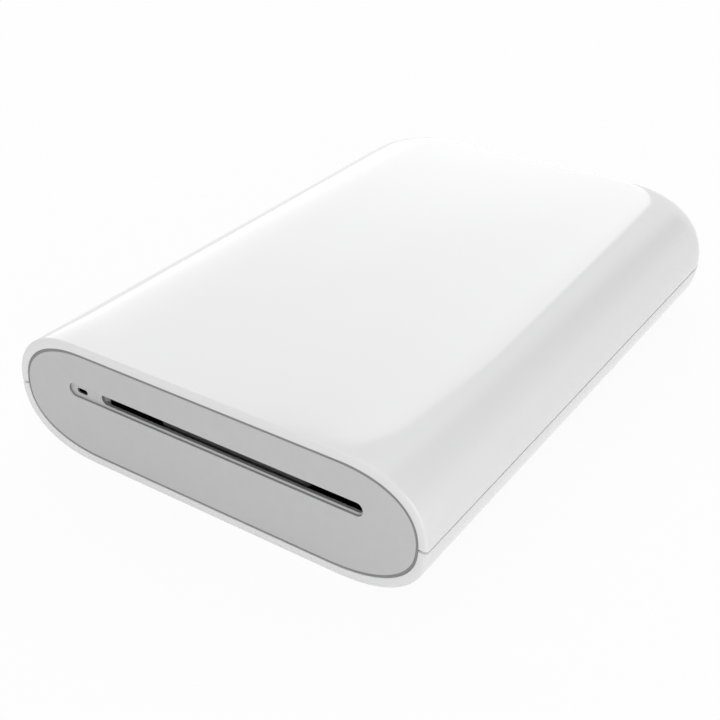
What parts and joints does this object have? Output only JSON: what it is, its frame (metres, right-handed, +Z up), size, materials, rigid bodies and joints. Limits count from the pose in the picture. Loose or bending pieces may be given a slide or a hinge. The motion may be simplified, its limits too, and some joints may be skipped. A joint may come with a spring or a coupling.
{
  "type": "compact photo printer",
  "caption": "Pocket photo printer with a soap-bar case, a hinged top shell over the paper tray, a flat front panel with an exit slot, and a thermal print mechanism inside.",
  "frame": {"origin": "middle of the case's footprint, on the surface it lies on", "axes": "+X to the right seen from the front panel, +Y from the front panel to the hinged rear, +Z up"},
  "size_m": [0.085, 0.124, 0.024],
  "materials": {
    "white_case": "gloss white moulding",
    "grey_panel": "fine matt light grey",
    "inner_plastic": "matt light grey moulding",
    "dark_plastic": "matt black moulding",
    "gear_plastic": "natural acetal",
    "rubber_black": "ground roller rubber",
    "rubber_grey": "ground roller rubber",
    "pad_cork": "friction cork rubber",
    "steel": "ground steel",
    "frame_steel": "zinc plated sheet",
    "aluminium": "extruded",
    "bronze": "sintered bronze",
    "brass": "turned",
    "ceramic_head": "glazed ceramic strip",
    "board_green": "solder mask",
    "battery_film": "pouch film",
    "foam": "foam tape",
    "lead_red": "wire insulation",
    "flex_amber": "polyimide film",
    "light_diffuser": "milky light guide"
  },
  "bodies": {
    "case": {"base_shell": "white_case", "front_panel": "grey_panel", "paper_tray": "inner_plastic", "hinge_pins": "steel", "tray_screws": "steel", "mechanism_frame": "frame_steel", "frame_screws": "steel", "frame_magnets": "steel", "gear_studs": "steel", "spring_bridge": "frame_steel", "head_springs": "steel", "feed_ramp": "dark_plastic", "exit_guide": "dark_plastic", "platen_bushes": "bronze", "motor_can": "frame_steel", "main_board": "board_green", "board_chips": "dark_plastic", "wireless_module": "frame_steel", "charging_inlet": "frame_steel", "power_switch": "dark_plastic", "light_pipe": "light_diffuser", "reset_switch": "dark_plastic", "paper_sensor": "dark_plastic", "battery_pack": "battery_film", "battery_pad": "foam", "battery_lead": "lead_red", "motor_lead": "lead_red", "head_flex": "flex_amber", "board_screws": "steel"},
    "cover": {"top_cover": "white_case", "cover_liner": "white_case", "cover_magnets": "steel", "pressure_springs": "steel"},
    "pressure": {"pressure_plate": "dark_plastic", "pressure_pads": "pad_cork"},
    "head": {"thermal_head": "ceramic_head", "heat_sink": "aluminium", "head_pivots": "steel"},
    "platen": {"platen_shaft": "steel", "platen_roller": "rubber_black", "platen_gear": "gear_plastic"},
    "exit_drive": {"exit_shaft": "steel", "exit_roller": "rubber_grey", "exit_gear": "gear_plastic"},
    "exit_idle": {"exit_idler": "gear_plastic"},
    "pinch": {"pinch_shaft": "steel", "pinch_rollers": "gear_plastic"},
    "pick": {"pick_shaft": "steel", "pick_roller": "rubber_black", "pick_gear": "gear_plastic"},
    "front_double": {"front_double_gear": "gear_plastic"},
    "rear_double": {"rear_double_gear": "gear_plastic"},
    "motor_rotor": {"motor_shaft": "steel", "motor_pinion": "brass"},
    "button": {"power_button": "white_case"},
    "reset_plunger": {"reset_button": "dark_plastic"}
  },
  "joints": [
    {"name": "cover_hinge", "type": "hinge", "parent": "case", "child": "cover", "pos_m": [0, 0.0584, 0.012], "axis": [-1, 0, 0], "range_deg": [0, 60]},
    {"name": "plate_float", "type": "slide", "parent": "cover", "child": "pressure", "axis": [0, 0, 1], "range_m": [0, 0.0024], "stiffness_N_per_m": 300, "springref_m": -0.001, "deforming": ["pressure_springs"]},
    {"name": "head_pivot", "type": "hinge", "parent": "case", "child": "head", "pos_m": [0.004, -0.03608, 0.0161], "axis": [-1, 0, 0], "range_deg": [0, 2.5], "stiffness_Nm_per_rad": 0.8, "springref_deg": -2.86, "deforming": ["head_springs"]},
    {"name": "platen_spin", "type": "hinge", "parent": "case", "child": "platen", "pos_m": [0.004, -0.04508, 0.0106], "axis": [1, 0, 0], "continuous": true},
    {"name": "exit_spin", "type": "hinge", "parent": "case", "child": "exit_drive", "pos_m": [0.004, -0.05628, 0.0124], "axis": [1, 0, 0], "continuous": true},
    {"name": "idler_spin", "type": "hinge", "parent": "case", "child": "exit_idle", "pos_m": [0.0335, -0.05224, 0.00981], "axis": [1, 0, 0], "continuous": true},
    {"name": "pinch_spin", "type": "hinge", "parent": "case", "child": "pinch", "pos_m": [0.004, -0.05628, 0.0167], "axis": [1, 0, 0], "continuous": true},
    {"name": "pick_spin", "type": "hinge", "parent": "case", "child": "pick", "pos_m": [0.004, -0.02088, 0.0077], "axis": [1, 0, 0], "continuous": true},
    {"name": "front_double_spin", "type": "hinge", "parent": "case", "child": "front_double", "pos_m": [0.0345, -0.03791, 0.00994], "axis": [1, 0, 0], "continuous": true},
    {"name": "rear_double_spin", "type": "hinge", "parent": "case", "child": "rear_double", "pos_m": [0.0345, -0.0257, 0.00964], "axis": [1, 0, 0], "continuous": true},
    {"name": "motor_spin", "type": "hinge", "parent": "case", "child": "motor_rotor", "pos_m": [0.032, -0.03188, 0.0068], "axis": [1, 0, 0], "continuous": true},
    {"name": "button_press", "type": "slide", "parent": "case", "child": "button", "axis": [0, -1, 0], "range_m": [0, 0.0005], "stiffness_N_per_m": 500, "springref_m": -0.0005},
    {"name": "reset_press", "type": "slide", "parent": "case", "child": "reset_plunger", "axis": [0, 1, 0], "range_m": [0, 0.0003], "stiffness_N_per_m": 400, "springref_m": -0.0005}
  ],
  "couplings": [
    {"joint": "motor_spin", "follows": "platen_spin", "ratio": 6.24},
    {"joint": "front_double_spin", "follows": "platen_spin", "ratio": -2.6},
    {"joint": "idler_spin", "follows": "platen_spin", "ratio": -2.6},
    {"joint": "exit_spin", "follows": "platen_spin", "ratio": 1.8571},
    {"joint": "pinch_spin", "follows": "platen_spin", "ratio": -1.8571},
    {"joint": "rear_double_spin", "follows": "platen_spin", "ratio": -2.6},
    {"joint": "pick_spin", "follows": "platen_spin", "ratio": 1.1556}
  ]
}
